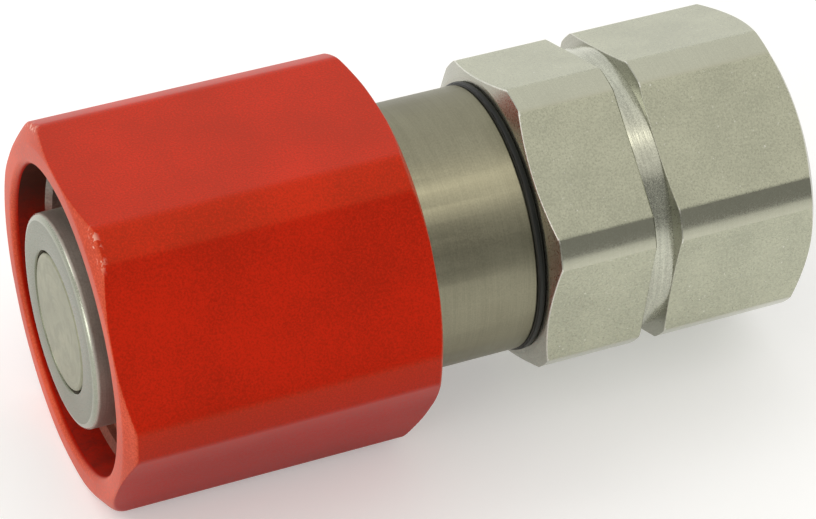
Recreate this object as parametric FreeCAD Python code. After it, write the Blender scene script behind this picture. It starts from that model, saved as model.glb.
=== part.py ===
import FreeCAD, Part
import math
import os

# Male half of a flat-face coupling that is connected by screwing its captive hexagon nut.
# The axis of the coupling is X. The flush nose is at x = 0 and faces -X, and the port is at the tail.
# Z is up: the coupling lies on one flat of its nut, as on a bench. Sizes are in millimetres.

# Nose with the poppet's seat, screwed into the front of the body
nose_length = 22.0
nose_wall = 2.1
nose_rounding = 0.6
nose_spigot_length = 8.0
nose_spigot_step = 0.8
nose_seal_thickness = 1.0

# Turned valve body, with heights and steps on the radius
body_diameter = 38.1
body_length = 26.95
body_edge_break = 0.2
collar_length = 13.7
collar_height = 0.65
collar_chamfer = 0.8
seal_land_length = 2.45
seal_land_step = 1.45
spigot_length = 15.65
spigot_step = 1.1
spigot_wall = 2.5

# Bores inside the nose and the body, with steps on the radius
guide_seat_step = 1.0
chamber_reach = 9.0
valve_seat_step = 3.0
poppet_bore_length = 5.5
bore_edge_break = 0.3

# Thrust washer and wiper, which run on the body inside the nut
washer_thickness = 1.0
washer_height = 1.75
wiper_inset = 3.8
wiper_width = 2.2
wiper_height = 1.5

# Captive nut, with depths from its front face and steps on the radius
nut_flange_depth = 36.45
nut_flange_length = 9.05
nut_cavity_room = 0.5
union_thread_depth = 23.55
union_thread_relief = 0.3
nut_mouth_depth = 5.7
nut_mouth_step = 0.8
nut_mouth_wall = 3.2
nut_corner_height = 2.5
nut_chamfer_angle = 25.0
nut_lip_rounding = 1.0
nut_edge_break = 0.5

# Poppet with its flange, spring pilot and stem
poppet_gap = 0.3
poppet_edge_break = 0.3
poppet_flange_gap = 1.5
poppet_flange_end = 9.5
spring_pilot_diameter = 12.0
spring_pilot_length = 2.0
stem_diameter = 8.0
stem_reach = 3.0
stem_chamfer = 1.0
poppet_travel = 9.5
seal_groove_start = 1.8
seal_groove_width = 3.1
seal_groove_depth = 1.6
backup_ring_width = 0.9

# Spring, guide and circlip behind the poppet
spring_mean_diameter = 15.4
spring_wire = 2.0
spring_turns = 5
guide_hub_wall = 1.82
guide_plate_thickness = 5.0
guide_rim_width = 2.2
guide_arm_width = 5.0
guide_arm_count = 3
circlip_thickness = 1.2
circlip_width = 2.0
circlip_groove_depth = 0.7
circlip_gap_width = 9.0
circlip_lug_diameter = 4.4
circlip_lug_hole = 1.8

# Seal ring between body and adaptor
joint_seal_width = 1.15
joint_seal_height = 0.35

# Port adaptor, with heights and steps on the radius
adaptor_front_step = 0.25
adaptor_front_angle = 24.0
adaptor_flat_height = 0.85
adaptor_corner_height = 2.0
adaptor_turn = -22.5
front_hex_length = 15.35
adaptor_groove_depth = 0.15
adaptor_groove_width = 3.5
rear_hex_front_angle = 8.0
rear_hex_length = 22.0
adaptor_tail_step = 0.7
adaptor_tail_angle = 30.0
flow_bore_diameter = 22.0
port_thread_diameter = 26.44
port_depth = 18.2
port_floor_angle = 30.0
port_edge_break = 0.8

# Clearances, on the radius or along the axis
running_clearance = 0.08
seal_clearance = 0.03
ring_clearance = 0.1
stop_clearance = 0.3

rounding_steps = 5

origin = FreeCAD.Vector(0, 0, 0)
axis = FreeCAD.Vector(1, 0, 0)

# Places along the axis, from the nose to the tail
nose_spigot_end = nose_length + nose_spigot_length
nose_floor = nose_spigot_end + nose_seal_thickness
guide_start = nose_floor + chamber_reach
guide_end = guide_start + guide_plate_thickness
circlip_end = guide_end + circlip_thickness
collar_end = nose_length + collar_length
washer_start = collar_end + ring_clearance
nut_flange_start = washer_start + washer_thickness + ring_clearance
nut_start = nut_flange_start - nut_flange_depth
nut_end = nut_flange_start + nut_flange_length
wiper_start = nut_flange_start + wiper_inset
body_end = collar_end + body_length
seal_land_end = body_end + seal_land_length
spigot_end = body_end + spigot_length
adaptor_start = body_end + joint_seal_width
front_hex_end = adaptor_start + front_hex_length
rear_hex_start = front_hex_end + adaptor_groove_width
adaptor_end = rear_hex_start + rear_hex_length
port_floor = adaptor_end - port_depth
spring_pilot_end = poppet_flange_end + spring_pilot_length
stem_end = guide_end + stem_reach
seal_groove_end = seal_groove_start + seal_groove_width

# Radii that fit one another
body_radius = body_diameter / 2
collar_radius = body_radius + collar_height
washer_radius = body_radius + washer_height
wiper_radius = body_radius + wiper_height
seal_land_radius = body_radius - seal_land_step
spigot_radius = seal_land_radius - spigot_step
guide_bore_radius = spigot_radius - spigot_wall
chamber_radius = guide_bore_radius - guide_seat_step
nose_radius = chamber_radius + nose_wall
nose_spigot_radius = nose_radius - nose_spigot_step
poppet_bore_radius = chamber_radius - valve_seat_step
poppet_radius = poppet_bore_radius - poppet_gap
poppet_flange_radius = chamber_radius - poppet_flange_gap
seal_groove_radius = poppet_radius - seal_groove_depth
stem_radius = stem_diameter / 2
joint_seal_radius = body_radius + joint_seal_height
nut_bore_radius = body_radius + running_clearance
nut_cavity_radius = washer_radius + nut_cavity_room
union_thread_radius = nut_cavity_radius - union_thread_relief
nut_mouth_radius = union_thread_radius + nut_mouth_step
nut_flat_radius = nut_mouth_radius + nut_mouth_wall
nut_turned_radius = nut_flat_radius + nut_corner_height
adaptor_front_radius = joint_seal_radius + adaptor_front_step
adaptor_flat_radius = adaptor_front_radius + adaptor_flat_height
adaptor_turned_radius = adaptor_flat_radius + adaptor_corner_height
adaptor_groove_radius = adaptor_flat_radius - adaptor_groove_depth
adaptor_tail_radius = adaptor_flat_radius - adaptor_tail_step


def turned(outline):
    """Turn a closed outline of (x, radius) corners about the axis."""
    corners = [FreeCAD.Vector(x, 0, radius) for x, radius in outline + outline[:1]]
    return Part.Face(Part.makePolygon(corners)).revolve(origin, axis, 360)


def ring(start, end, inner_radius, outer_radius):
    """Turned ring of rectangular section."""
    return turned([
        (start, inner_radius),
        (start, outer_radius),
        (end, outer_radius),
        (end, inner_radius),
    ])


def seal_ring(start, end, inner_radius, outer_radius):
    """Squeezed seal ring, with its outside rounded off towards both faces."""
    rounding = (end - start) / 4
    return turned([
        (start, inner_radius),
        (start, outer_radius - rounding),
        (start + rounding, outer_radius),
        (end - rounding, outer_radius),
        (end, outer_radius - rounding),
        (end, inner_radius),
    ])


def chamfer_length(height, angle):
    """Length along the axis of a chamfer that rises by height, at an angle to the end face."""
    return height * math.tan(math.radians(angle))


def rounded_front(front, edge_radius, rounding, side):
    """Corners of a rounded front edge, from the face inwards: side is 1 for an outer edge, -1 for a bore."""
    corners = []
    for step in range(rounding_steps + 1):
        angle = math.radians(90 * step / rounding_steps)
        depth = rounding * (1 - math.cos(angle))
        inset = rounding * (1 - math.sin(angle))
        corners.append((front + depth, edge_radius - side * inset))
    return corners


def hexagon(flat_radius, start, end, turn):
    """Hexagon prism along the axis, with one flat facing up before it is turned."""
    corner_radius = flat_radius / math.cos(math.radians(30))
    corners = []
    for index in range(7):
        angle = math.radians(30 + 60 * index + turn)
        across = -corner_radius * math.sin(angle)
        up = corner_radius * math.cos(angle)
        corners.append(FreeCAD.Vector(start, across, up))
    return Part.Face(Part.makePolygon(corners)).extrude(axis * (end - start))


def make_coupling_nut():
    """Hexagon nut with a lead-in, a thread bore, a cavity for the collar and an inner flange."""
    chamfer = chamfer_length(nut_turned_radius - nut_flat_radius, nut_chamfer_angle)
    mouth_end = nut_start + nut_mouth_depth
    thread_end = nut_start + union_thread_depth
    groove_start = wiper_start - ring_clearance
    groove_end = wiper_start + wiper_width + ring_clearance
    groove_radius = wiper_radius + ring_clearance
    lip = rounded_front(nut_start, nut_mouth_radius, nut_lip_rounding, -1)
    blank = turned([
        (nut_start, nut_flat_radius),
        (nut_start + chamfer, nut_turned_radius),
        (nut_end - chamfer, nut_turned_radius),
        (nut_end, nut_flat_radius),
        (nut_end, nut_bore_radius + nut_edge_break),
        (nut_end - nut_edge_break, nut_bore_radius),
        (groove_end, nut_bore_radius),
        (groove_end, groove_radius),
        (groove_start, groove_radius),
        (groove_start, nut_bore_radius),
        (nut_flange_start, nut_bore_radius),
        (nut_flange_start, nut_cavity_radius),
        (thread_end, nut_cavity_radius),
        (thread_end, union_thread_radius),
        (mouth_end, union_thread_radius),
        (mouth_end - nut_mouth_step, nut_mouth_radius),
    ] + lip[::-1])
    return blank.common(hexagon(nut_flat_radius, nut_start, nut_end, 0))


def make_nose_sleeve():
    """Turned nose: rounded front, poppet bore, conical seat and a spigot that is screwed into the body."""
    seat_end = poppet_bore_length + valve_seat_step
    front = rounded_front(0, nose_radius, nose_rounding, 1)
    return turned([(0, poppet_bore_radius + bore_edge_break)] + front + [
        (nose_length, nose_radius),
        (nose_length, nose_spigot_radius),
        (nose_spigot_end, nose_spigot_radius),
        (nose_spigot_end, chamber_radius),
        (seat_end, chamber_radius),
        (poppet_bore_length, poppet_bore_radius),
        (bore_edge_break, poppet_bore_radius),
    ])


def make_nose_seal():
    """Flat seal between the end of the nose and the floor of its bore in the body."""
    inner_radius = chamber_radius + ring_clearance
    return ring(nose_spigot_end, nose_floor, inner_radius, nose_spigot_radius - ring_clearance)


def make_valve_body():
    """Turned tube: bore for the nose, collar that stops the nut, running surface, seal land and spigot."""
    nose_bore_radius = nose_spigot_radius + seal_clearance
    groove_radius = guide_bore_radius + circlip_groove_depth
    return turned([
        (nose_length, nose_bore_radius),
        (nose_length, collar_radius - collar_chamfer),
        (nose_length + collar_chamfer, collar_radius),
        (collar_end, collar_radius),
        (collar_end, body_radius),
        (body_end - body_edge_break, body_radius),
        (body_end, body_radius - body_edge_break),
        (body_end, seal_land_radius),
        (seal_land_end, seal_land_radius),
        (seal_land_end, spigot_radius),
        (spigot_end, spigot_radius),
        (spigot_end, guide_bore_radius),
        (circlip_end + ring_clearance, guide_bore_radius),
        (circlip_end + ring_clearance, groove_radius),
        (guide_end, groove_radius),
        (guide_end, guide_bore_radius),
        (guide_start, guide_bore_radius),
        (guide_start, chamber_radius),
        (nose_floor, chamber_radius),
        (nose_floor, nose_bore_radius),
    ])


def make_poppet():
    """Valve disc with a seal groove, a cone that meets the seat, a spring pilot and a guided stem."""
    cone_start = poppet_bore_length - poppet_gap + ring_clearance
    cone_end = cone_start + poppet_flange_radius - poppet_radius
    return turned([
        (0, 0),
        (0, poppet_radius - poppet_edge_break),
        (poppet_edge_break, poppet_radius),
        (seal_groove_start, poppet_radius),
        (seal_groove_start, seal_groove_radius),
        (seal_groove_end, seal_groove_radius),
        (seal_groove_end, poppet_radius),
        (cone_start, poppet_radius),
        (cone_end, poppet_flange_radius),
        (poppet_flange_end, poppet_flange_radius),
        (poppet_flange_end, spring_pilot_diameter / 2),
        (spring_pilot_end, spring_pilot_diameter / 2),
        (spring_pilot_end, stem_radius),
        (stem_end - stem_chamfer, stem_radius),
        (stem_end, stem_radius - stem_chamfer),
        (stem_end, 0),
    ])


def make_poppet_backup_ring():
    """Stiff ring on the outer side of the poppet's seal."""
    start = seal_groove_start + ring_clearance
    inner_radius = seal_groove_radius + seal_clearance
    return ring(start, start + backup_ring_width, inner_radius, poppet_bore_radius - running_clearance)


def make_poppet_seal():
    """Seal of the closed valve, between the poppet and its bore."""
    start = seal_groove_start + backup_ring_width + 2 * ring_clearance
    end = seal_groove_end - ring_clearance
    inner_radius = seal_groove_radius + seal_clearance
    return seal_ring(start, end, inner_radius, poppet_bore_radius - seal_clearance)


def make_poppet_spring():
    """Square-wire coil spring with ground ends, from the poppet's flange to the arms of the guide."""
    half_wire = spring_wire / 2
    length = guide_start - poppet_flange_end
    coil_radius = spring_mean_diameter / 2
    path = Part.Wire(Part.makeHelix(length / spring_turns, length + spring_wire, coil_radius))
    section = Part.makePlane(spring_wire, spring_wire)
    section.rotate(origin, axis, 90)
    section.translate(FreeCAD.Vector(coil_radius - half_wire, 0, -half_wire))
    coil = path.makePipeShell([section.OuterWire], True, True)
    coil.rotate(origin, FreeCAD.Vector(0, 1, 0), 90)
    coil.translate(axis * (poppet_flange_end - half_wire))
    ground_length = ring(poppet_flange_end, guide_start, coil_radius - spring_wire, coil_radius + spring_wire)
    return coil.common(ground_length)


def make_poppet_guide():
    """Three-armed spider with a rim in the body's bore and a long hub round the stem."""
    rim_radius = guide_bore_radius - running_clearance
    hub_bore_radius = stem_radius + running_clearance
    hub_start = spring_pilot_end + poppet_travel + stop_clearance
    hub = ring(hub_start, guide_end, hub_bore_radius, hub_bore_radius + guide_hub_wall)
    rim = ring(guide_start, guide_end, rim_radius - guide_rim_width, rim_radius)
    arms = ring(guide_start, guide_end, hub_bore_radius, rim_radius)
    arm_blocks = []
    for index in range(guide_arm_count):
        arm = Part.makeBox(guide_plate_thickness, guide_arm_width, rim_radius)
        arm.translate(FreeCAD.Vector(guide_start, -guide_arm_width / 2, 0))
        arm.rotate(origin, axis, 360 / guide_arm_count * index)
        arm_blocks.append(arm)
    spider = arms.common(arm_blocks[0].fuse(arm_blocks[1:]))
    return hub.fuse([rim, spider]).removeSplitter()


def make_guide_circlip():
    """Open internal ring in the body's groove, with a pierced lug at each end."""
    outer_radius = guide_bore_radius + circlip_groove_depth - ring_clearance
    inner_radius = outer_radius - circlip_width - circlip_groove_depth
    lug_radius = circlip_lug_diameter / 2
    lug_height = inner_radius - lug_radius
    lug_offset = circlip_gap_width / 2 + lug_radius
    hoop = ring(guide_end, circlip_end, inner_radius, outer_radius)
    gap = Part.makeBox(circlip_thickness, circlip_gap_width, outer_radius)
    gap.translate(FreeCAD.Vector(guide_end, -circlip_gap_width / 2, 0))
    lugs = []
    holes = []
    for side in (-1, 1):
        centre = FreeCAD.Vector(guide_end, side * lug_offset, lug_height)
        lugs.append(Part.makeCylinder(lug_radius, circlip_thickness, centre, axis))
        holes.append(Part.makeCylinder(circlip_lug_hole / 2, circlip_thickness, centre, axis))
    return hoop.cut(gap).fuse(lugs).cut(holes[0].fuse(holes[1])).removeSplitter()


def make_port_adaptor():
    """Hexagon adaptor with a turned groove, a bore for the body's spigot and a threaded port."""
    front_chamfer = chamfer_length(adaptor_turned_radius - adaptor_front_radius, adaptor_front_angle)
    groove_slope = chamfer_length(adaptor_turned_radius - adaptor_groove_radius, rear_hex_front_angle)
    tail_chamfer = chamfer_length(adaptor_turned_radius - adaptor_tail_radius, adaptor_tail_angle)
    land_radius = seal_land_radius + ring_clearance
    thread_radius = spigot_radius + seal_clearance
    flow_radius = flow_bore_diameter / 2
    port_radius = port_thread_diameter / 2
    port_start = port_floor + chamfer_length(port_radius - flow_radius, port_floor_angle)
    blank = turned([
        (adaptor_start, land_radius),
        (adaptor_start, adaptor_front_radius),
        (adaptor_start + front_chamfer, adaptor_turned_radius),
        (front_hex_end, adaptor_turned_radius),
        (front_hex_end, adaptor_groove_radius),
        (rear_hex_start, adaptor_groove_radius),
        (rear_hex_start + groove_slope, adaptor_turned_radius),
        (adaptor_end - tail_chamfer, adaptor_turned_radius),
        (adaptor_end, adaptor_tail_radius),
        (adaptor_end, port_radius + port_edge_break),
        (adaptor_end - port_edge_break, port_radius),
        (port_start, port_radius),
        (port_floor, flow_radius),
        (spigot_end, flow_radius),
        (spigot_end, thread_radius),
        (seal_land_end + ring_clearance, thread_radius),
        (seal_land_end + ring_clearance, land_radius),
    ])
    return blank.common(hexagon(adaptor_flat_radius, adaptor_start, adaptor_end, adaptor_turn))


def make_joint_seal():
    """Seal ring between body and adaptor, bulging out of the gap."""
    return seal_ring(body_end, adaptor_start, seal_land_radius + seal_clearance, joint_seal_radius)


def make_nut_thrust_washer():
    """Bearing washer between the nut's inner flange and the body's collar."""
    return ring(washer_start, washer_start + washer_thickness, nut_bore_radius, washer_radius)


def make_nut_wiper_ring():
    """Wiper in the rear bore of the nut, running on the body."""
    return ring(wiper_start, wiper_start + wiper_width, body_radius + seal_clearance, wiper_radius)


pieces = {
    "coupling_nut": make_coupling_nut(),
    "nut_thrust_washer": make_nut_thrust_washer(),
    "nut_wiper_ring": make_nut_wiper_ring(),
    "nose_sleeve": make_nose_sleeve(),
    "nose_seal": make_nose_seal(),
    "valve_body": make_valve_body(),
    "poppet": make_poppet(),
    "poppet_seal": make_poppet_seal(),
    "poppet_backup_ring": make_poppet_backup_ring(),
    "poppet_spring": make_poppet_spring(),
    "poppet_guide": make_poppet_guide(),
    "guide_circlip": make_guide_circlip(),
    "joint_seal": make_joint_seal(),
    "port_adaptor": make_port_adaptor(),
}

os.makedirs("parts", exist_ok=True)
for node, shape in pieces.items():
    shape.exportStep("parts/" + node + ".step")
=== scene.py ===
import math

import bmesh
import bpy
from mathutils import Matrix, Vector


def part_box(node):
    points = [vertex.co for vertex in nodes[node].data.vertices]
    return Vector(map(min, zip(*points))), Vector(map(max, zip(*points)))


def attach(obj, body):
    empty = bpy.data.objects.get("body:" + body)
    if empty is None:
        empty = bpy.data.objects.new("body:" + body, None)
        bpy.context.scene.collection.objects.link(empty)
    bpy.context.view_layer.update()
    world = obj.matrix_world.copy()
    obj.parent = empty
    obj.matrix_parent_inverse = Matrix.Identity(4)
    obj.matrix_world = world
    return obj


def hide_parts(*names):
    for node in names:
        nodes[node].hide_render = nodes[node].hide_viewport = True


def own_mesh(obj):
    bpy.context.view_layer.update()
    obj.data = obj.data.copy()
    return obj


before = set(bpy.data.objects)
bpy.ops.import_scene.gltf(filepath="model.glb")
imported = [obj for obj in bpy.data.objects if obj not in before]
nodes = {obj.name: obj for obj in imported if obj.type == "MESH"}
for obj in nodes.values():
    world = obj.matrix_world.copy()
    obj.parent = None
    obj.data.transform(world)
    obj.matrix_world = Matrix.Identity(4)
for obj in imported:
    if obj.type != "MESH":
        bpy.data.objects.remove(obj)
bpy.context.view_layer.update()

MM = 0.001

# Camera, fitted to the photograph
camera_position = Vector((-103.07, -344.59, 318.63)) * MM
camera_target = Vector((46.18, -11.8, 6.58)) * MM
camera_roll = math.radians(2.13)
camera_lens = 155.85
sensor_width = 36.0

# Stage: a pale tent that is brightest at the back, a pale floor, and a dim screen in front
tent_front_colour = (0.92, 0.895, 0.85)
tent_back_colour = (0.97, 0.97, 0.955)
tent_front_to_back = (-0.3, 0.6)
tent_strength = 1.0
floor_radius = 4.0
floor_corners = 64
floor_gap = 0.05 * MM
floor_colour = (0.77, 0.77, 0.765)
floor_roughness = 0.7
floor_specular = 0.2
floor_glow_colour = (1.0, 1.0, 1.0)
floor_glow = 0.31
screen_distance = 0.75
screen_left = -0.6
screen_right = 1.3
screen_height = 0.7
screen_colour = (0.34, 0.34, 0.335)
screen_roughness = 0.9

# Light: two lamps on the left, and small ones for turned metal
left_lamp_target = Vector((0, 0, 0))
left_lamp_distance = 1.0
low_lamp_direction = Vector((-0.9, -0.36, 0.14))
low_lamp_size = 0.5
low_lamp_power = 2.0
high_lamp_direction = Vector((-0.6, 0.25, 0.76))
high_lamp_size = 0.4
high_lamp_power = 1.4
small_lamp_target = Vector((54, -10, 16)) * MM
small_lamp_direction = Vector((0.333, -0.265, 0.905))
small_lamp_distance = 0.36
small_lamp_size = 0.035
small_lamp_colour = (1.0, 0.95, 0.84)
body_lamp_power = 0.17
groove_lamp_power = 0.032

# Painted nut, whose coat rounds the creases of the hexagon
nut_low, nut_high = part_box("coupling_nut")
nut_start = nut_low.x
nut_end = nut_high.x
nut_flat_radius = nut_high.z
nut_turned_radius = nut_high.y
nut_chamfer_angle = math.radians(25)
nut_chamfer_reach = 3.2 * MM
nut_chamfer_steps = 20
nut_edge_rounding = 0.2 * MM
nut_edge_steps = 5
crease_softness = 0.28 * MM
corner_softness = 0.6 * MM
blunt_corner_angle = math.radians(150)
blunt_corner_width = math.radians(32)
blunt_corner_softness = 3.8 * MM
blunt_crease_share = 0.4
nut_lip_rounding = 1.0 * MM
nut_lip_steps = 8
nut_mouth_radius = 21.8 * MM
nut_mouth_end = 6.15 * MM
nut_cavity_radius = 21.3 * MM
nut_flange_start = 36.9 * MM
nut_bore_radius = 19.13 * MM
nut_bore_break = 0.5 * MM
wiper_room = 0.1 * MM

# Nose, whose side is duller than its face, and whose rounded rim is paler steel, as a painted highlight
nose_radius = 15.1 * MM
nose_rounding = 0.9 * MM
nose_rounding_steps = 12
nose_bright_steps = 8
nose_length = 22.0 * MM
nose_spigot_radius = 14.3 * MM
nose_spigot_end = 30.0 * MM
chamber_radius = 13.0 * MM
valve_seat_end = 8.5 * MM
valve_seat_start = 5.5 * MM
poppet_bore_radius = 10.0 * MM
poppet_bore_rounding = 0.3 * MM
poppet_bore_steps = 5

# Spring behind the poppet, with round wire and ground ends
spring_coil_radius = 7.7 * MM
spring_wire_radius = 1.0 * MM
spring_end_thickness = 0.5 * MM
spring_turns = 5
spring_steps_per_turn = 72
spring_sides = 16

# Threads that are plain bores in the solids
union_thread_pitch = 2.0 * MM
union_thread_start = 6.2 * MM
union_thread_end = 23.8 * MM
union_root_radius = 21.0 * MM
port_thread_pitch = 1.814 * MM
port_thread_start = 88.0 * MM
port_thread_end = 103.6 * MM
port_root_radius = 13.22 * MM
thread_depth_in_pitches = 0.5413
thread_half_foot_in_pitches = 7 / 16
thread_half_crest_in_pitches = 1 / 8
thread_least_height = 0.02 * MM
thread_sunk = 0.06 * MM
thread_steps_per_turn = 96
thread_fade_turns = 0.35
thread_run_out = 0.2 * MM

# Port adaptor, a hexagon bar with turned ends, corners and groove
adaptor_low, adaptor_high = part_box("port_adaptor")
adaptor_start = adaptor_low.x
adaptor_end = adaptor_high.x
adaptor_turn = math.radians(-22.5)
adaptor_flat_radius = 20.5 * MM
adaptor_turned_radius = 22.5 * MM
adaptor_front_radius = 20.2 * MM
adaptor_front_angle = math.radians(24)
adaptor_tail_radius = 19.8 * MM
adaptor_tail_angle = math.radians(30)
adaptor_edge = 0.18 * MM
# Width of the edges that take the pale edge finish: burnished metal, and a painted highlight line
burnished_highlight_edge = 0.16 * MM
groove_start = 79.15 * MM
groove_end = 82.65 * MM
groove_radius = 20.35 * MM
groove_band_depth = 0.4 * MM
groove_band_gap = 0.01 * MM
groove_slope_angle = math.radians(8)
slope_steps = 24
seal_land_end = 65.2 * MM
seal_land_radius = 17.7 * MM
spigot_end = 78.3 * MM
spigot_bore_radius = 16.53 * MM
flow_radius = 11.0 * MM
port_floor = 86.45 * MM
port_floor_slope = 1.28 * MM
port_edge_break = 0.8 * MM

# Meshes: columns round the axis, the least angle of a sharp edge, and rounded edges of machined pieces
ring_columns = 720
sharp_angle = math.radians(35)
weld_distance = 0.001 * MM
flatten_angle = math.radians(0.5)
edge_radius = 0.22 * MM
edge_angle = math.radians(12)
edge_segments = 3

# Order of the materials on the pieces that have several
paint_index, thread_index, mouth_index = range(3)
face_index, side_index, rim_index = range(3)
flat_index, corner_index, chamfer_index, edge_index = range(4)
only_index = 0

# Sockets for colours on Blender's Mix node, which share their names with others
mix_inputs = (0, 6, 7)
mix_output = 2

# Ranges of noise that several finishes share
shade_range = (0.35, 0.65)
grain_range = (0.25, 0.75)
wide_grain_range = (0.2, 0.8)

# A noise is (waves per metre, detail, roughness). Streaks have waves along and round the axis, and marks and
# rings get the first of these from their material.

# Turned metal
turned_marks = (90, 2.0, 0.6)
turned_bands = (700, 30, 2.0, 0.5)
turned_grain = (4200, 2.0, 0.6)
turned_cloud = (110, 3.0, 0.5)
turned_stain = (420, 3.0, 0.6)
turned_mark_share = 0.25
turned_band_share = 0.07
turned_grain_share = 0.43
turned_cloud_share = 0.25
turned_stain_range = (0.42, 0.62)
turned_smoother = 0.05
turned_rougher = 0.06
turned_grain_height = 0.03 * MM
turned_mark_height = 0.02 * MM

# Plated flats
plated_grain = (3600, 3.0, 0.65)
plated_speck = (2300, 1.0, 0.5)
plated_cloud = (130, 3.0, 0.5)
plated_grain_share = 0.74
plated_cloud_share = 0.26
plated_speck_range = (0.72, 0.8)
plated_speck_strength = 0.6
plated_speck_colour = (0.8, 0.8, 0.74)
plated_smoother = 0.05
plated_rougher = 0.07
plated_bump = 0.14
plated_grain_height = 0.03 * MM

# Red paint: paler on the ends as painted sheen, darker towards the bottom as painted shade, and chipped at
# worn corners, the chips also painted glints
paint_grain = (3600, 2.0, 0.6)
paint_peel = (650, 2.0, 0.5)
paint_cloud = (60, 3.0, 0.5)
paint_grain_share = 0.6
paint_cloud_share = 0.4
paint_side_to_end = (0.2, 0.75)
paint_side_to_shaded_underside = (9 * MM, -14 * MM)
paint_roughness = (0.34, 0.46)
paint_specular_tint = (1.0, 0.85, 0.35)
paint_peel_rise = 0.7
paint_grain_rise = 0.4
paint_chip_rise = -0.3
paint_bump = 0.3
paint_height = 0.06 * MM
# Worn corners, whose pale chips are also painted glints
worn_corners = (Vector((1.2, -13.6, 23.5)) * MM, Vector((1.0, 13.4, 23.4)) * MM)
chip_noise = (1000, 2.0, 0.6)
chip_range = (0.53, 0.6)
chip_radius = (26.3 * MM, 26.8 * MM)
chip_depth = (2.4 * MM, 1.5 * MM)
chip_reach = (4 * MM, 1 * MM)
# Pale salmon of the chips: worn paint, and also a painted glint
chip_and_glint_colour = (0.76, 0.36, 0.28)

# Inside of the nut's mouth: one finish above and another below, which on its paint is painted shade, and
# greasy patches
mouth_grain = (2600, 3.0, 0.6)
mouth_patch = (350, 3.0, 0.6)
mouth_patch_reach = 12 * MM
mouth_lower_to_upper = (2 * MM, 14 * MM)
mouth_grain_share = 0.5
mouth_patch_share = 0.5
mouth_roughness = (0.4, 0.55)
mouth_specular = 0.12
mouth_bump = 0.2
mouth_height = 0.05 * MM
grease_range = (0.65, 0.35)
grease_strength = 0.45
grease_colour = (0.02, 0.01, 0.008)

# Plain substances
plain_grain = (1500, 3.0, 0.6)
plain_rings = (25, 2.0, 0.6)
plain_shade_range = (0.3, 0.7)
plain_roughness_spread = 0.06
plain_bump = 0.15
plain_grain_height = 0.03 * MM


def make_camera():
    """Camera at the photograph's place, rolled a little as the photograph is."""
    forward = (camera_target - camera_position).normalized()
    level = forward.cross(Vector((0, 0, 1))).normalized()
    above = level.cross(forward)
    right = level * math.cos(camera_roll) + above * math.sin(camera_roll)
    up = right.cross(forward)
    data = bpy.data.cameras.new("camera")
    data.lens = camera_lens
    data.sensor_width = sensor_width
    data.sensor_fit = "HORIZONTAL"
    camera = bpy.data.objects.new("camera", data)
    bpy.context.scene.collection.objects.link(camera)
    turn = Matrix((right, up, -forward)).transposed()
    camera.matrix_world = Matrix.Translation(camera_position) @ turn.to_4x4()
    bpy.context.scene.camera = camera


class Nodes:
    """Short way to add and link shader nodes in one tree."""

    def __init__(self, tree):
        self.tree = tree
        tree.nodes.clear()

    def add(self, kind, settings=None, **inputs):
        """New node with its settings and its named inputs."""
        node = self.tree.nodes.new(kind)
        for name, value in (settings or {}).items():
            setattr(node, name, value)
        for name, value in inputs.items():
            self.set(node, name, value)
        return node

    def set(self, node, name, value):
        """Set an input, by its name or number, or link it to another node's output."""
        socket = node.inputs[name]
        if isinstance(value, bpy.types.NodeSocket):
            self.tree.links.new(value, socket)
        elif socket.type == "RGBA":
            socket.default_value = (*value, 1.0)
        else:
            socket.default_value = value

    def calculate(self, operation, first, second=0.0):
        node = self.add("ShaderNodeMath", {"operation": operation})
        self.set(node, 0, first)
        self.set(node, 1, second)
        return node.outputs[0]

    def sum(self, *shares):
        """Sum of values, each with its share."""
        total = 0.0
        for value, share in shares:
            total = self.calculate("ADD", self.calculate("MULTIPLY", value, share), total)
        return total

    def smooth(self, value, low, high, to_low=0.0, to_high=1.0):
        """Smooth step from one number to another, as a value goes from low to high."""
        node = self.add("ShaderNodeMapRange", {"interpolation_type": "SMOOTHSTEP"})
        for number, setting in enumerate((value, low, high, to_low, to_high)):
            self.set(node, number, setting)
        return node.outputs[0]

    def mix(self, factor, first, second):
        """Mix of two colours."""
        node = self.add("ShaderNodeMix", {"data_type": "RGBA"})
        for number, value in zip(mix_inputs, (factor, first, second)):
            self.set(node, number, value)
        return node.outputs[mix_output]

    def bump(self, height, strength, distance, normal=None):
        """Normal of a surface with a height, on top of an earlier normal where there is one."""
        node = self.add("ShaderNodeBump", Height=height, Strength=strength, Distance=distance)
        if normal is not None:
            self.set(node, "Normal", normal)
        return node.outputs["Normal"]

    def place(self):
        """Place on the part, which the patterns follow."""
        return self.add("ShaderNodeTexCoord").outputs["Object"]

    def split(self, vector):
        """The X, Y and Z of a vector."""
        return self.add("ShaderNodeSeparateXYZ", Vector=vector).outputs

    def from_axis(self, place):
        """Distance from the part's axis."""
        parts = self.split(place)
        across = self.add("ShaderNodeCombineXYZ", Y=parts["Y"], Z=parts["Z"])
        length = self.add("ShaderNodeVectorMath", {"operation": "LENGTH"})
        self.set(length, 0, across.outputs[0])
        return length.outputs["Value"]

    def noise(self, vector, waves, detail, roughness):
        node = self.add("ShaderNodeTexNoise", Vector=vector, Scale=waves, Detail=detail, Roughness=roughness)
        return node.outputs["Fac"]

    def streaks(self, place, along, around, detail, roughness):
        """Noise whose streaks run round the axis, on cylinders, cones and end faces alike."""
        parts = self.split(place)
        run = self.calculate("ADD", parts["X"], self.from_axis(place))
        stretched = self.add(
            "ShaderNodeCombineXYZ",
            X=self.calculate("MULTIPLY", run, along),
            Y=self.calculate("MULTIPLY", parts["Y"], around),
            Z=self.calculate("MULTIPLY", parts["Z"], around),
        )
        return self.noise(stretched.outputs[0], 1.0, detail, roughness)


def new_material(name):
    """Material with the nodes that build it and its shader."""
    material = bpy.data.materials.new(name)
    material.use_nodes = True
    build = Nodes(material.node_tree)
    shader = build.add("ShaderNodeBsdfPrincipled")
    build.add("ShaderNodeOutputMaterial", Surface=shader.outputs[0])
    return material, build, shader


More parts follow.
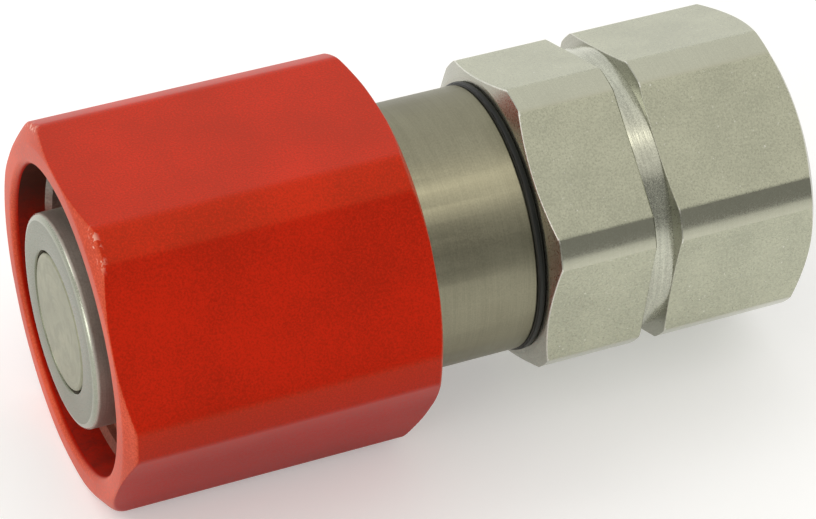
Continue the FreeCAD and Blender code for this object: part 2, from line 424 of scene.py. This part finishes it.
def make_world():
    """Pale all round, as in a light tent, and brightest at the back."""
    world = bpy.data.worlds.new("tent")
    bpy.context.scene.world = world
    world.use_nodes = True
    build = Nodes(world.node_tree)
    direction = build.add("ShaderNodeTexCoord").outputs["Generated"]
    back = build.smooth(build.split(direction)["Y"], *tent_front_to_back)
    shade = build.mix(back, tent_front_colour, tent_back_colour)
    background = build.add("ShaderNodeBackground", Color=shade, Strength=tent_strength)
    build.add("ShaderNodeOutputWorld", Surface=background.outputs[0])


def make_lamp(name, target, direction, distance, size, power):
    """Square soft lamp that faces a target."""
    data = bpy.data.lights.new(name, "AREA")
    data.shape = "SQUARE"
    data.size = size
    data.energy = power
    lamp = bpy.data.objects.new(name, data)
    bpy.context.scene.collection.objects.link(lamp)
    lamp.location = target + direction.normalized() * distance
    lamp.rotation_euler = (-direction).to_track_quat("-Z", "Y").to_euler()
    return lamp


def make_lamps(turned_pieces):
    """Two lamps on the left, and a small one for each turned piece, which lights only that piece."""
    left_lamps = (
        ("low_lamp", low_lamp_direction, low_lamp_size, low_lamp_power),
        ("high_lamp", high_lamp_direction, high_lamp_size, high_lamp_power),
    )
    for name, direction, size, power in left_lamps:
        make_lamp(name, left_lamp_target, direction, left_lamp_distance, size, power)
    for piece, power in turned_pieces:
        lamp = make_lamp("small_lamp", small_lamp_target, small_lamp_direction, small_lamp_distance,
                         small_lamp_size, power)
        lamp.data.color = small_lamp_colour
        lit = bpy.data.collections.new("lit_by_small_lamp")
        lit.objects.link(piece)
        lamp.light_linking.receiver_collection = lit


def stage_piece(name, corners, material):
    """One flat face of the stage."""
    mesh = bpy.data.meshes.new(name)
    mesh.from_pydata(corners, [], [list(range(len(corners)))])
    mesh.materials.append(material)
    piece = bpy.data.objects.new(name, mesh)
    bpy.context.scene.collection.objects.link(piece)
    return piece


def make_stage():
    """Plain pale floor under the nut, and the dim screen in front that the metal mirrors."""
    level = nut_low.z - floor_gap
    material, build, shader = new_material("floor")
    build.set(shader, "Base Color", floor_colour)
    build.set(shader, "Roughness", floor_roughness)
    build.set(shader, "Specular IOR Level", floor_specular)
    path = build.add("ShaderNodeLightPath")
    seen = build.calculate("ADD", path.outputs["Is Camera Ray"], path.outputs["Is Glossy Ray"])
    seen = build.calculate("ADD", seen, path.outputs["Is Transmission Ray"])
    build.set(shader, "Emission Color", floor_glow_colour)
    build.set(shader, "Emission Strength", build.calculate("MULTIPLY", seen, floor_glow))
    corners = []
    for corner in range(floor_corners):
        angle = math.tau * corner / floor_corners
        corners.append((floor_radius * math.cos(angle), floor_radius * math.sin(angle), level))
    stage_piece("floor", corners, material)

    material, build, shader = new_material("screen")
    build.set(shader, "Base Color", screen_colour)
    build.set(shader, "Roughness", screen_roughness)
    screen = stage_piece("screen", [
        (screen_left, -screen_distance, level),
        (screen_right, -screen_distance, level),
        (screen_right, -screen_distance, level + screen_height),
        (screen_left, -screen_distance, level + screen_height),
    ], material)
    screen.visible_camera = False


def turned_metal(name, pale, dark, roughness, marks=0.1, grain=0.12, marks_per_metre=6000, rim=1.0,
                 stains=0.0):
    """Satin metal with fine turning marks and a finer grain.

    A low rim makes it darker where it turns away, and stains are soft dull patches.
    """
    material, build, shader = new_material(name)
    place = build.place()
    fine = build.streaks(place, marks_per_metre, *turned_marks)
    broad = build.streaks(place, *turned_bands)
    speck = build.noise(place, *turned_grain)
    cloud = build.noise(place, *turned_cloud)
    tone = build.sum(
        (fine, turned_mark_share),
        (broad, turned_band_share),
        (speck, turned_grain_share),
        (cloud, turned_cloud_share),
    )
    base = build.mix(build.smooth(tone, *shade_range), dark, pale)
    if stains:
        stain = build.smooth(build.noise(place, *turned_stain), *turned_stain_range, 0.0, stains)
        base = build.mix(stain, base, dark)
    smoothest = roughness - turned_smoother
    roughest = roughness + turned_rougher
    build.set(shader, "Base Color", base)
    build.set(shader, "Metallic", 1.0)
    build.set(shader, "Specular Tint", (rim, rim, rim))
    build.set(shader, "Roughness", build.smooth(speck, *grain_range, smoothest, roughest))
    grained = build.bump(speck, grain, turned_grain_height)
    build.set(shader, "Normal", build.bump(fine, marks, turned_mark_height, grained))
    return material


def plated_flat(name, pale, dark, roughness):
    """Plated wrench flats: fine blasted grain with small bright specks and faint clouds."""
    material, build, shader = new_material(name)
    place = build.place()
    grain = build.noise(place, *plated_grain)
    speck = build.noise(place, *plated_speck)
    cloud = build.noise(place, *plated_cloud)
    tone = build.sum((grain, plated_grain_share), (cloud, plated_cloud_share))
    base = build.mix(build.smooth(tone, *shade_range), dark, pale)
    bright = build.smooth(speck, *plated_speck_range, 0.0, plated_speck_strength)
    smoothest = roughness - plated_smoother
    roughest = roughness + plated_rougher
    build.set(shader, "Base Color", build.mix(bright, base, plated_speck_colour))
    build.set(shader, "Metallic", 1.0)
    build.set(shader, "Roughness", build.smooth(grain, *grain_range, smoothest, roughest))
    build.set(shader, "Normal", build.bump(grain, plated_bump, plated_grain_height))
    return material


def worn_chips_and_glints(build, place):
    """Share of the paint that is chipped off near the worn front corners of the hexagon, shown pale as wear
    and as a painted glint.
    """
    near = 0.0
    for worn_corner in worn_corners:
        away = build.add("ShaderNodeVectorMath", {"operation": "DISTANCE"})
        build.set(away, 0, place)
        build.set(away, 1, worn_corner)
        near = build.calculate("MAXIMUM", build.smooth(away.outputs["Value"], *chip_reach), near)
    corner = build.smooth(build.from_axis(place), *chip_radius)
    front = build.smooth(build.split(place)["X"], *chip_depth)
    patch = build.smooth(build.noise(place, *chip_noise), *chip_range)
    on_corner = build.calculate("MULTIPLY", corner, front)
    return build.calculate("MULTIPLY", on_corner, build.calculate("MULTIPLY", near, patch))


def red_paint(name, side, end, shaded_underside):
    """Satin red coating with orange peel and fine grain, each finish as (pale, dark, specular).

    It is paler on the ends, as painted sheen, darker and duller towards the bottom, as painted shade, and
    chipped at worn front corners of the hexagon, where the chips' pale colour is also a painted glint.
    """
    material, build, shader = new_material(name)
    place = build.place()
    grain = build.noise(place, *paint_grain)
    peel = build.noise(place, *paint_peel)
    cloud = build.noise(place, *paint_cloud)
    tone = build.sum((grain, paint_grain_share), (cloud, paint_cloud_share))
    shade = build.smooth(tone, *shade_range)
    facing = build.split(build.add("ShaderNodeNewGeometry").outputs["Normal"])
    # Painted sheen: faces that look along the axis take a paler, whiter paint
    on_end = build.smooth(build.calculate("ABSOLUTE", facing["X"]), *paint_side_to_end)
    # Painted shade: darker, less shiny paint towards the bottom of the nut, with a dimmed reflection
    under = build.smooth(build.split(place)["Z"], *paint_side_to_shaded_underside)
    pale, dark, specular = side
    base = build.mix(shade, dark, pale)
    for share, (pale, dark, shine) in ((under, shaded_underside), (on_end, end)):
        base = build.mix(share, base, build.mix(shade, dark, pale))
        specular = build.smooth(share, 0.0, 1.0, specular, shine)
    # Chips at the worn corners, pale as wear and as a painted glint
    chip_and_glint = worn_chips_and_glints(build, place)
    height = build.sum((peel, paint_peel_rise), (grain, paint_grain_rise), (chip_and_glint, paint_chip_rise))
    build.set(shader, "Base Color", build.mix(chip_and_glint, base, chip_and_glint_colour))
    build.set(shader, "Roughness", build.smooth(grain, *wide_grain_range, *paint_roughness))
    build.set(shader, "Specular IOR Level", specular)
    build.set(shader, "Specular Tint", paint_specular_tint)
    build.set(shader, "Normal", build.bump(height, paint_bump, paint_height))
    return material


def mouth_material(name, upper, lower, bare_above):
    """Inside of the nut's mouth: dark above, where it may be bare metal, thinly painted below, and greasy.

    On the mouth's paint the dark colour above is painted shade; on the thread the colour above is bare metal.
    """
    material, build, shader = new_material(name)
    place = build.place()
    grain = build.noise(place, *mouth_grain)
    patch = build.noise(place, *mouth_patch)
    height = build.sum((build.split(place)["Z"], 1.0), (patch, mouth_patch_reach))
    above = build.smooth(height, *mouth_lower_to_upper)
    shade = build.sum((grain, mouth_grain_share), (patch, mouth_patch_share))
    grease = build.smooth(shade, *grease_range, 0.0, grease_strength)
    base = build.mix(above, lower, upper)
    build.set(shader, "Base Color", build.mix(grease, base, grease_colour))
    if bare_above:
        build.set(shader, "Metallic", above)
    build.set(shader, "Specular IOR Level", mouth_specular)
    build.set(shader, "Roughness", build.smooth(grain, *wide_grain_range, *mouth_roughness))
    build.set(shader, "Normal", build.bump(shade, mouth_bump, mouth_height))
    return material


def plain_material(name, pale, dark, roughness, metallic=0.0, specular=0.5, rings_per_metre=0):
    """One substance with a fine grain, or with fine rings round the axis."""
    material, build, shader = new_material(name)
    place = build.place()
    if rings_per_metre:
        grain = build.streaks(place, rings_per_metre, *plain_rings)
    else:
        grain = build.noise(place, *plain_grain)
    smoothest = roughness - plain_roughness_spread
    roughest = roughness + plain_roughness_spread
    build.set(shader, "Base Color", build.mix(build.smooth(grain, *plain_shade_range), dark, pale))
    build.set(shader, "Metallic", metallic)
    build.set(shader, "Specular IOR Level", specular)
    build.set(shader, "Roughness", build.smooth(grain, *wide_grain_range, smoothest, roughest))
    build.set(shader, "Normal", build.bump(grain, plain_bump, plain_grain_height))
    return material


def dress(node, material):
    """Give a CAD node its material."""
    mesh = nodes[node].data
    mesh.materials.clear()
    mesh.materials.append(material)
    for face in mesh.polygons:
        face.material_index = only_index


def round_edges(node):
    """Round the sharp machined edges of a CAD node a little."""
    piece = nodes[node]
    weld = piece.modifiers.new("weld", "WELD")
    weld.merge_threshold = weld_distance
    flatten = piece.modifiers.new("flatten", "DECIMATE")
    flatten.decimate_type = "DISSOLVE"
    flatten.angle_limit = flatten_angle
    bevel = piece.modifiers.new("edges", "BEVEL")
    bevel.width = edge_radius
    bevel.segments = edge_segments
    bevel.limit_method = "ANGLE"
    bevel.angle_limit = edge_angle
    bevel.harden_normals = True
    bevel.miter_outer = "MITER_ARC"


def add_piece(name, mesh, body):
    """Put a new mesh in the scene, riding on a body."""
    piece = bpy.data.objects.new(name, mesh)
    bpy.context.scene.collection.objects.link(piece)
    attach(piece, body)
    return piece


def soft_lower(first, second, width):
    """The lower of two heights, with the crease between them rounded over a width."""
    share = min(max(0.5 + 0.5 * (second - first) / width, 0.0), 1.0)
    return second + (first - second) * share - width * share * (1 - share)


def hexagon_side(flat_radius, angle, turn=0.0):
    """Distance from the axis to the sides of a hexagon, by the angle from straight up."""
    from_flat = (angle - turn + math.pi / 6) % (math.pi / 3) - math.pi / 6
    return flat_radius / math.cos(from_flat)


def quarter_round(rounding, steps):
    """Depth below a face and inset from an edge, along a rounded edge from the face down."""
    turns = [math.pi / 2 * step / steps for step in range(steps + 1)]
    return [(rounding * (1 - math.cos(turn)), rounding * (1 - math.sin(turn))) for turn in turns]


def around_axis(place, radius, angle):
    """Point at a place along the axis and a radius, turned by an angle from straight up."""
    return (place, -radius * math.sin(angle), radius * math.cos(angle))


def at_angle(value, angle):
    """A value, or what it gives at an angle where it is a function."""
    return value(angle) if callable(value) else value


def ring_piece(name, rows, body, materials):
    """Closed ring from rows of (place along the axis, radius, material of the band up to the next row).

    A radius or a material may be a function of the angle.
    """
    angles = [math.tau * column / ring_columns for column in range(ring_columns)]
    shape = bmesh.new()
    rings = []
    for place, radius, _ in rows:
        points = [around_axis(place, at_angle(radius, angle), angle) for angle in angles]
        rings.append([shape.verts.new(point) for point in points])
    for index, (_, _, material) in enumerate(rows):
        near = rings[index]
        far = rings[(index + 1) % len(rings)]
        for column, angle in enumerate(angles):
            after = (column + 1) % ring_columns
            face = shape.faces.new((near[column], near[after], far[after], far[column]))
            face.material_index = at_angle(material, angle)
    bmesh.ops.recalc_face_normals(shape, faces=shape.faces)
    mesh = bpy.data.meshes.new(name)
    shape.to_mesh(mesh)
    shape.free()
    mesh.set_sharp_from_angle(angle=sharp_angle)
    for material in materials:
        mesh.materials.append(material)
    return add_piece(name, mesh, body)


def swept_mesh(name, sections, material):
    """Closed mesh through sections that all have the same number of points."""
    sides = len(sections[0])
    points = [point for section in sections for point in section]
    last = len(points) - sides
    faces = []
    for start in range(0, last, sides):
        for side in range(sides):
            near = start + side
            near_next = start + (side + 1) % sides
            faces.append((near, near_next, near_next + sides, near + sides))
    faces.append(tuple(reversed(range(sides))))
    faces.append(tuple(range(last, last + sides)))
    mesh = bpy.data.meshes.new(name)
    mesh.from_pydata(points, [], faces)
    mesh.materials.append(material)
    return mesh


def one_finish(profile, material):
    """Rows of a ring from (place along the axis, radius), all with one material."""
    return [(place, radius, material) for place, radius in profile]


def nut_row(place, depth, inset, blunt_softness=0.0):
    """Row of the painted nut at a depth from its nearer end face: flats, turned corners and end chamfer.

    The corner that lies lowest in front may be blunter than the rest.
    """
    cone = nut_flat_radius + depth / math.tan(nut_chamfer_angle)
    fade = max(0.0, 1 - depth / nut_chamfer_reach)

    def radius(angle):
        blunt = blunt_softness * max(0.0, 1 - abs(angle - blunt_corner_angle) / blunt_corner_width)
        turned = soft_lower(nut_turned_radius, cone, corner_softness + blunt)
        crease = crease_softness + blunt * blunt_crease_share * fade
        return soft_lower(hexagon_side(nut_flat_radius, angle), turned, crease) - inset

    return (place, radius, paint_index)


def painted_nut(paint, thread, mouth):
    """Hexagon nut with its edges and creases rounded by the coat of paint, and bare metal inside."""
    outer = quarter_round(nut_edge_rounding, nut_edge_steps)
    for step in range(1, nut_chamfer_steps + 1):
        outer.append((nut_edge_rounding + nut_chamfer_reach * step / nut_chamfer_steps, 0))
    rows = []
    for depth, inset in outer:
        rows.append(nut_row(nut_start + depth, depth, inset, blunt_corner_softness))
    for depth, inset in reversed(outer):
        rows.append(nut_row(nut_end - depth, depth, inset))
    wiper_low, wiper_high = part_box("nut_wiper_ring")
    wiper_start = wiper_low.x - wiper_room
    wiper_end = wiper_high.x + wiper_room
    wiper_radius = wiper_high.z + wiper_room
    thread_end = union_thread_end + thread_run_out
    lead_in = nut_mouth_radius - union_root_radius
    rows.append((nut_end, nut_bore_radius + nut_bore_break, paint_index))
    rows += one_finish([
        (nut_end - nut_bore_break, nut_bore_radius),
        (wiper_end, nut_bore_radius),
        (wiper_end, wiper_radius),
        (wiper_start, wiper_radius),
        (wiper_start, nut_bore_radius),
        (nut_flange_start, nut_bore_radius),
        (nut_flange_start, nut_cavity_radius),
        (thread_end, nut_cavity_radius),
        (thread_end, union_root_radius),
        (nut_mouth_end, union_root_radius),
    ], thread_index)
    rows.append((nut_mouth_end - lead_in, nut_mouth_radius, mouth_index))
    for depth, inset in reversed(quarter_round(nut_lip_rounding, nut_lip_steps)):
        rows.append((nut_start + depth, nut_mouth_radius + inset, paint_index))
    nut = ring_piece("painted_nut", rows, "nut", (paint, thread, mouth))
    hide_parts("coupling_nut")


def machined_nose(face, side, rim):
    """Nose with a smoothly rounded front edge, its bore, valve seat, chamber and spigot."""
    rows = []
    for step, (depth, inset) in enumerate(quarter_round(nose_rounding, nose_rounding_steps)):
        # The first steps of the rounding take the paler rim steel, a painted highlight
        material = rim_index if step < nose_bright_steps else side_index
        rows.append((depth, nose_radius - inset, material))
    rows += one_finish([
        (nose_length, nose_radius),
        (nose_length, nose_spigot_radius),
        (nose_spigot_end, nose_spigot_radius),
        (nose_spigot_end, chamber_radius),
        (valve_seat_end, chamber_radius),
        (valve_seat_start, poppet_bore_radius),
    ], side_index)
    for depth, inset in reversed(quarter_round(poppet_bore_rounding, poppet_bore_steps)):
        rows.append((depth, poppet_bore_radius + inset, face_index))
    nose = ring_piece("machined_nose", rows, "body", (face, side, rim))
    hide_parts("nose_sleeve")


def adaptor_row(place, turned, finish, inset=0.0):
    """Row of the adaptor where its turned radius is known, with flats wherever the hexagon lies lower."""
    def radius(angle):
        side = hexagon_side(adaptor_flat_radius, angle, adaptor_turn)
        return soft_lower(side, turned, adaptor_edge) - inset

    def material(angle):
        height = hexagon_side(adaptor_flat_radius, angle, adaptor_turn) - turned
        # Chamfer edges take the pale finish, burnished and a painted highlight line
        if finish == chamfer_index and abs(height) < burnished_highlight_edge:
            return edge_index
        return flat_index if height < 0 else finish

    return (place, radius, material)


def slope_rows(start, start_radius, end, end_radius):
    """Rows of the adaptor along a turned slope."""
    rows = []
    for step in range(slope_steps + 1):
        share = step / slope_steps
        place = start + (end - start) * share
        turned = start_radius + (end_radius - start_radius) * share
        rows.append(adaptor_row(place, turned, chamfer_index))
    return rows


def groove_band(finish):
    """Bright turned floor of the adaptor's groove."""
    start = groove_start + groove_band_gap
    end = groove_end - groove_band_gap
    inner_radius = groove_radius - groove_band_depth + groove_band_gap
    rows = one_finish([
        (start, groove_radius),
        (end, groove_radius),
        (end, inner_radius),
        (start, inner_radius),
    ], only_index)
    return ring_piece("groove_band", rows, "body", (finish,))


def plated_adaptor(flats, corners, chamfers, edges):
    """Port adaptor with fine edges: front chamfer, corners, groove, rear hexagon, tail, port and bores."""
    front_length = (adaptor_turned_radius - adaptor_front_radius) * math.tan(adaptor_front_angle)
    groove_slope = (adaptor_turned_radius - groove_radius) * math.tan(groove_slope_angle)
    tail_length = (adaptor_turned_radius - adaptor_tail_radius) * math.tan(adaptor_tail_angle)
    front_end = adaptor_start + front_length
    slope_end = groove_end + groove_slope
    tail_start = adaptor_end - tail_length
    rows = slope_rows(adaptor_start, adaptor_front_radius, front_end, adaptor_turned_radius)
    rows += [
        adaptor_row(front_end + adaptor_edge, adaptor_turned_radius, corner_index),
        adaptor_row(groove_start - adaptor_edge, adaptor_turned_radius, corner_index),
        adaptor_row(groove_start, adaptor_turned_radius, chamfer_index, adaptor_edge),
        (groove_start, groove_radius, chamfer_index),
        (groove_end, groove_radius - groove_band_depth, chamfer_index),
    ]
    rows += slope_rows(groove_end, groove_radius, slope_end, adaptor_turned_radius)
    rows += [
        adaptor_row(slope_end + adaptor_edge, adaptor_turned_radius, corner_index),
        adaptor_row(tail_start - adaptor_edge, adaptor_turned_radius, corner_index),
    ]
    rows += slope_rows(tail_start, adaptor_turned_radius, adaptor_end, adaptor_tail_radius)
    rows += one_finish([
        (adaptor_end, port_root_radius + port_edge_break),
        (adaptor_end - port_edge_break, port_root_radius),
        (port_floor + port_floor_slope, port_root_radius),
        (port_floor, flow_radius),
        (spigot_end, flow_radius),
        (spigot_end, spigot_bore_radius),
        (seal_land_end, spigot_bore_radius),
        (seal_land_end, seal_land_radius),
        (adaptor_start, seal_land_radius),
    ], chamfer_index)
    finishes = (flats, corners, chamfers, edges)
    adaptor = ring_piece("plated_adaptor", rows, "body", finishes)
    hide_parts("port_adaptor")


def internal_thread(name, start, end, pitch, root_radius, body, material):
    """Helical ridge of a right-hand internal thread, its foot sunk a little into the bore."""
    depth = thread_depth_in_pitches * pitch
    half_foot = thread_half_foot_in_pitches * pitch
    half_crest = thread_half_crest_in_pitches * pitch
    foot = root_radius + thread_sunk
    turns = (end - start - 2 * half_foot) / pitch
    steps = int(turns * thread_steps_per_turn)
    sections = []
    for step in range(steps + 1):
        turn = turns * step / steps
        angle = math.tau * turn
        rise = min(1.0, turn / thread_fade_turns, (turns - turn) / thread_fade_turns)
        crest = root_radius - max(depth * rise, thread_least_height)
        centre = start + half_foot + pitch * turn
        profile = ((-half_foot, foot), (-half_crest, crest), (half_crest, crest), (half_foot, foot))
        sections.append([around_axis(centre + along, radius, angle) for along, radius in profile])
    add_piece(name, swept_mesh(name, sections, material), body)


def coil_spring(material):
    """Spring from the poppet's flange to the fixed guide, with round wire and ground ends."""
    low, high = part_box("poppet_spring")
    length = high.x - low.x
    steps = spring_turns * spring_steps_per_turn
    sections = []
    for step in range(steps + 1):
        share = step / steps
        angle = math.tau * spring_turns * share
        centre = low.x + spring_end_thickness + (length - 2 * spring_end_thickness) * share
        section = []
        for side in range(spring_sides):
            turn = math.tau * side / spring_sides
            along = centre + spring_wire_radius * math.sin(turn)
            ground = min(max(along, low.x), high.x)
            radius = spring_coil_radius + spring_wire_radius * math.cos(turn)
            section.append(around_axis(ground, radius, angle))
        sections.append(section)
    mesh = swept_mesh("coil_spring", sections, material)
    mesh.set_sharp_from_angle(angle=sharp_angle)
    spring = add_piece("coil_spring", mesh, "body")
    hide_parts("poppet_spring")
    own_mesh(spring)


make_camera()
make_world()
make_stage()

nut_paint = red_paint(
    "red_paint",
    side=((0.635, 0.009, 0.0012), (0.42, 0.0055, 0.0006), 0.4),
    # The paler end finish is painted sheen
    end=((0.69, 0.09, 0.043), (0.48, 0.045, 0.019), 0.22),
    # The darker, duller finish towards the bottom is painted shade
    shaded_underside=((0.48, 0.0075, 0.001), (0.36, 0.0055, 0.0006), 0.1),
)
# Its dark upper colour is painted shade
mouth_paint = mouth_material(
    "mouth_paint", upper=(0.085, 0.02, 0.012), lower=(0.4, 0.012, 0.003), bare_above=False,
)
thread_steel = mouth_material(
    "thread_steel", upper=(0.36, 0.33, 0.29), lower=(0.3, 0.09, 0.06), bare_above=True,
)
body_steel = turned_metal(
    "body_steel", pale=(0.3, 0.287, 0.204), dark=(0.23, 0.218, 0.153), roughness=0.37, rim=0.72,
)
nose_steel = turned_metal(
    "nose_steel", pale=(0.195, 0.205, 0.144), dark=(0.158, 0.169, 0.117), roughness=0.28,
    marks=0.02, grain=0.0,
)
# Paler steel on the rounded rim, which brightens its highlight: a painted highlight
nose_rim_highlight = turned_metal(
    "nose_rim_highlight", pale=(0.36, 0.37, 0.3), dark=(0.32, 0.33, 0.27), roughness=0.24, marks=0.0, grain=0.0,
)
nose_side = turned_metal(
    "nose_side", pale=(0.5, 0.46, 0.4), dark=(0.36, 0.333, 0.29), roughness=0.5,
)
poppet_steel = turned_metal(
    "poppet_steel", pale=(0.39, 0.39, 0.28), dark=(0.252, 0.254, 0.182), roughness=0.4, stains=0.7,
)
plated_flats = plated_flat(
    "plated_flats", pale=(0.522, 0.53, 0.407), dark=(0.378, 0.386, 0.297), roughness=0.3,
)
plated_smooth = turned_metal(
    "plated_smooth", pale=(0.51, 0.51, 0.405), dark=(0.45, 0.45, 0.355), roughness=0.14,
    marks=0.02, grain=0.01,
)
plated_chamfer = turned_metal(
    "plated_chamfer", pale=(0.46, 0.46, 0.39), dark=(0.345, 0.345, 0.29), roughness=0.3,
)
plated_groove = turned_metal(
    "plated_groove", pale=(0.63, 0.64, 0.53), dark=(0.385, 0.39, 0.325), roughness=0.25,
    marks=1.0, grain=0.03, marks_per_metre=1700,
)
# Pale burnished edges, paler than the flats so that they show painted highlight lines
plated_edge_highlight = turned_metal(
    "plated_edge_highlight", pale=(0.78, 0.78, 0.7), dark=(0.56, 0.56, 0.5), roughness=0.36,
)
rubber = plain_material(
    "rubber", pale=(0.016, 0.017, 0.013), dark=(0.009, 0.01, 0.008), roughness=0.55, specular=0.3,
)
ribbed_rubber = plain_material(
    "ribbed_rubber", pale=(0.036, 0.038, 0.03), dark=(0.005, 0.006, 0.005), roughness=0.5,
    specular=0.3, rings_per_metre=2600,
)
white_plastic = plain_material(
    "white_plastic", pale=(0.78, 0.76, 0.7), dark=(0.7, 0.68, 0.62), roughness=0.5,
)
bronze = turned_metal(
    "bronze", pale=(0.62, 0.42, 0.2), dark=(0.5, 0.32, 0.14), roughness=0.35,
)
spring_steel = plain_material(
    "spring_steel", pale=(0.36, 0.35, 0.33), dark=(0.26, 0.25, 0.24), roughness=0.35, metallic=1.0,
)

painted_nut(nut_paint, thread_steel, mouth_paint)
machined_nose(nose_steel, nose_side, nose_rim_highlight)
plated_adaptor(plated_flats, plated_smooth, plated_chamfer, plated_edge_highlight)
coil_spring(spring_steel)
groove = groove_band(plated_groove)
make_lamps([(nodes["valve_body"], body_lamp_power), (groove, groove_lamp_power)])

node_materials = {
    "valve_body": body_steel,
    "nose_seal": rubber,
    "poppet": poppet_steel,
    "joint_seal": ribbed_rubber,
    "nut_wiper_ring": rubber,
    "poppet_seal": rubber,
    "poppet_backup_ring": white_plastic,
    "nut_thrust_washer": bronze,
    "guide_circlip": spring_steel,
    "poppet_guide": body_steel,
}
for node, material in node_materials.items():
    dress(node, material)
for node in ("valve_body", "poppet", "joint_seal"):
    round_edges(node)

internal_thread("union_thread", union_thread_start, union_thread_end, union_thread_pitch, union_root_radius,
                "nut", thread_steel)
internal_thread("port_thread", port_thread_start, port_thread_end, port_thread_pitch, port_root_radius,
                "body", plated_smooth)

bpy.context.scene.view_settings.view_transform = "Standard"
